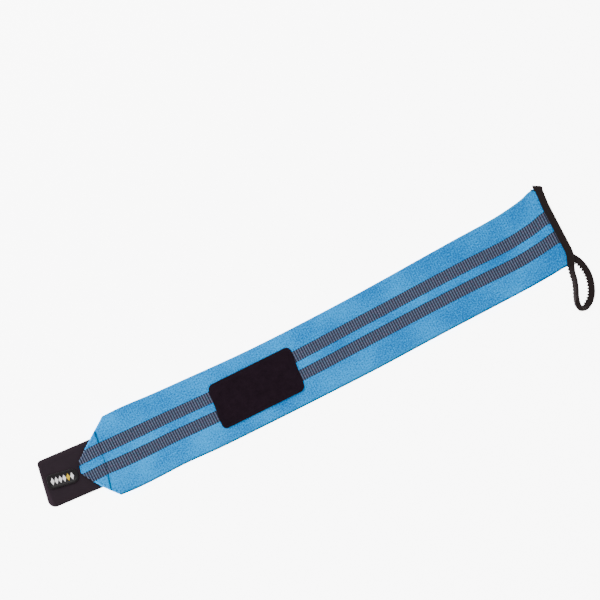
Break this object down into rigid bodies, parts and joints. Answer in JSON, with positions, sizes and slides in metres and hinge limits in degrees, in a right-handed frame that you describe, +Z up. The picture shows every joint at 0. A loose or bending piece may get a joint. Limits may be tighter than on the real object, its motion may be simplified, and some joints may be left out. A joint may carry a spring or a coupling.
{
  "type": "wrist wrap",
  "caption": "Elastic wrist wrap lying flat: a striped woven band folded to a blunt point, with a hook tab, raised label, loop patch, bound end and a thumb loop of scalloped tape.",
  "frame": {"origin": "middle of the table area that the wrap covers, on the table", "axes": "+X along the band from the hook tab to the thumb loop, +Y across the band away from the thumb loop, +Z up from the table"},
  "size_m": [0.6058, 0.1384, 0.0076],
  "materials": {
    "elastic": "woven elastic, blue with ribbed grey stripes",
    "hook": "smooth woven back of hook tape",
    "rubber": "satin",
    "pile": "short loop pile",
    "tape": "matt knitted tape"
  },
  "bodies": {
    "root": {"elastic_band": "elastic", "hook_tab": "hook", "tab_label": "rubber", "loop_patch": "pile", "end_binding": "tape", "thumb_loop": "tape"}
  },
  "joints": []
}
